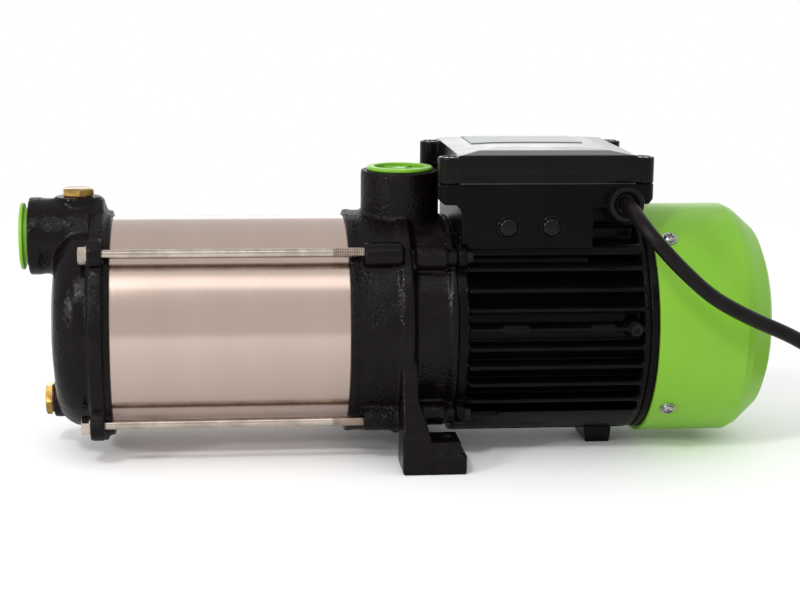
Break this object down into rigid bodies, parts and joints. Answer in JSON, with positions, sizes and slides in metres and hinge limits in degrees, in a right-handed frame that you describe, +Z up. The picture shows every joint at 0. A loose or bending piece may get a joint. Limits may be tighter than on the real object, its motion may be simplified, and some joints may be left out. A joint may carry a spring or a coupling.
{
  "type": "self-priming multistage pump",
  "caption": "Horizontal self-priming multistage pump: steel barrel between cast casings, finned motor, terminal box, fan cover and mains lead.",
  "frame": {"origin": "on the floor, midway between the two foot holes, below the shaft", "axes": "+X along the shaft from the suction port to the fan cover, +Z up towards the discharge port, +Y across the pump, away from the side with the cable gland"},
  "size_m": [0.6353, 0.2006, 0.1807],
  "materials": {
    "black_iron": "glossy black paint over an uneven cast surface",
    "black_aluminium": "glossy black paint over a die-cast surface",
    "stainless": "brushed round the barrel",
    "zinc_steel": "bright zinc plating",
    "dark_steel": "black oxide",
    "bearing_steel": "ground",
    "shaft_steel": "turned",
    "laminations": "bare electrical steel",
    "copper": "enamelled copper wire",
    "rotor_alloy": "as cast",
    "brass": "bright machined brass",
    "copper_washer": "soft copper",
    "green_plastic": "satin green",
    "black_plastic": "satin black",
    "stage_plastic": "glass-filled plastic, off-white",
    "fan_plastic": "satin black",
    "white_plastic": "smooth",
    "rubber": "matt",
    "cord_rubber": "matt dark brownish black",
    "ceramic": "lapped",
    "graphite": "lapped carbon",
    "plate": "blank pale plate",
    "nickel": "nickel plated"
  },
  "bodies": {
    "pump": {"suction_casing": "black_iron", "barrel": "stainless", "barrel_o_rings": "rubber", "tie_bolts": "zinc_steel", "discharge_bracket": "black_iron", "stage_casings": "stage_plastic", "diffusers": "stage_plastic", "seal_seat": "ceramic", "front_bearing_outer": "bearing_steel", "rear_bearing_outer": "bearing_steel", "wave_washer": "bearing_steel", "motor_housing": "black_aluminium", "motor_screws": "dark_steel", "earth_screw": "zinc_steel", "stator_core": "laminations", "stator_windings": "copper", "end_shield": "black_aluminium", "shield_screws": "zinc_steel", "rear_support": "black_plastic", "fan_cover": "green_plastic", "fan_cover_screws": "zinc_steel", "terminal_box": "black_plastic", "box_screws": "zinc_steel", "box_knockouts": "black_plastic", "box_gasket": "rubber", "box_lid": "black_plastic", "lid_screws": "zinc_steel", "lid_plate": "plate", "capacitor": "white_plastic", "terminal_block": "fan_plastic", "gland_nut": "black_plastic", "gland_seal": "rubber", "mains_cord": "cord_rubber", "cord_coil": "cord_rubber", "mains_plug": "cord_rubber", "plug_pins": "nickel"},
    "rotor": {"shaft": "shaft_steel", "impellers": "stage_plastic", "impeller_nut": "zinc_steel", "seal_head": "graphite", "seal_spring": "shaft_steel", "front_bearing_inner": "bearing_steel", "rear_bearing_inner": "bearing_steel", "rotor_core": "laminations", "rotor_end_rings": "rotor_alloy", "fan": "fan_plastic", "fan_clip": "bearing_steel"},
    "front_cage": {"front_bearing_balls": "bearing_steel"},
    "rear_cage": {"rear_bearing_balls": "bearing_steel"},
    "suction_closure": {"suction_cap": "green_plastic"},
    "discharge_closure": {"discharge_cap": "green_plastic"},
    "priming_seal": {"priming_washer": "copper_washer"},
    "priming_screw": {"priming_plug": "brass"},
    "drain_seal": {"drain_washer": "copper_washer"},
    "drain_screw": {"drain_plug": "brass"}
  },
  "joints": [
    {"name": "rotor_spin", "type": "hinge", "parent": "pump", "child": "rotor", "pos_m": [0, 0, 0.074], "axis": [1, 0, 0], "continuous": true},
    {"name": "front_cage_spin", "type": "hinge", "parent": "pump", "child": "front_cage", "pos_m": [0, 0, 0.074], "axis": [1, 0, 0], "continuous": true},
    {"name": "rear_cage_spin", "type": "hinge", "parent": "pump", "child": "rear_cage", "pos_m": [0, 0, 0.074], "axis": [1, 0, 0], "continuous": true},
    {"name": "suction_cap_pull", "type": "slide", "parent": "pump", "child": "suction_closure", "axis": [-1, 0, 0], "range_m": [0, 0.08]},
    {"name": "discharge_cap_pull", "type": "slide", "parent": "pump", "child": "discharge_closure", "axis": [0, 0, 1], "range_m": [0, 0.08]},
    {"name": "priming_plug_rise", "type": "slide", "parent": "pump", "child": "priming_seal", "axis": [0, 0, 1], "range_m": [0, 0.0095]},
    {"name": "priming_plug_turn", "type": "hinge", "parent": "priming_seal", "child": "priming_screw", "pos_m": [-0.2093, 0, 0.1491], "axis": [0, 0, 1], "range_deg": [0, 2520]},
    {"name": "drain_plug_rise", "type": "slide", "parent": "pump", "child": "drain_seal", "axis": [-1, 0, 0], "range_m": [0, 0.0095]},
    {"name": "drain_plug_turn", "type": "hinge", "parent": "drain_seal", "child": "drain_screw", "pos_m": [-0.2266, 0, 0.0288], "axis": [-1, 0, 0], "range_deg": [0, 2520]}
  ],
  "couplings": [
    {"joint": "front_cage_spin", "follows": "rotor_spin", "ratio": 0.3947},
    {"joint": "rear_cage_spin", "follows": "rotor_spin", "ratio": 0.38},
    {"joint": "priming_plug_rise", "follows": "priming_plug_turn", "m_per_rad": 0.00021279},
    {"joint": "drain_plug_rise", "follows": "drain_plug_turn", "m_per_rad": 0.00021279}
  ]
}
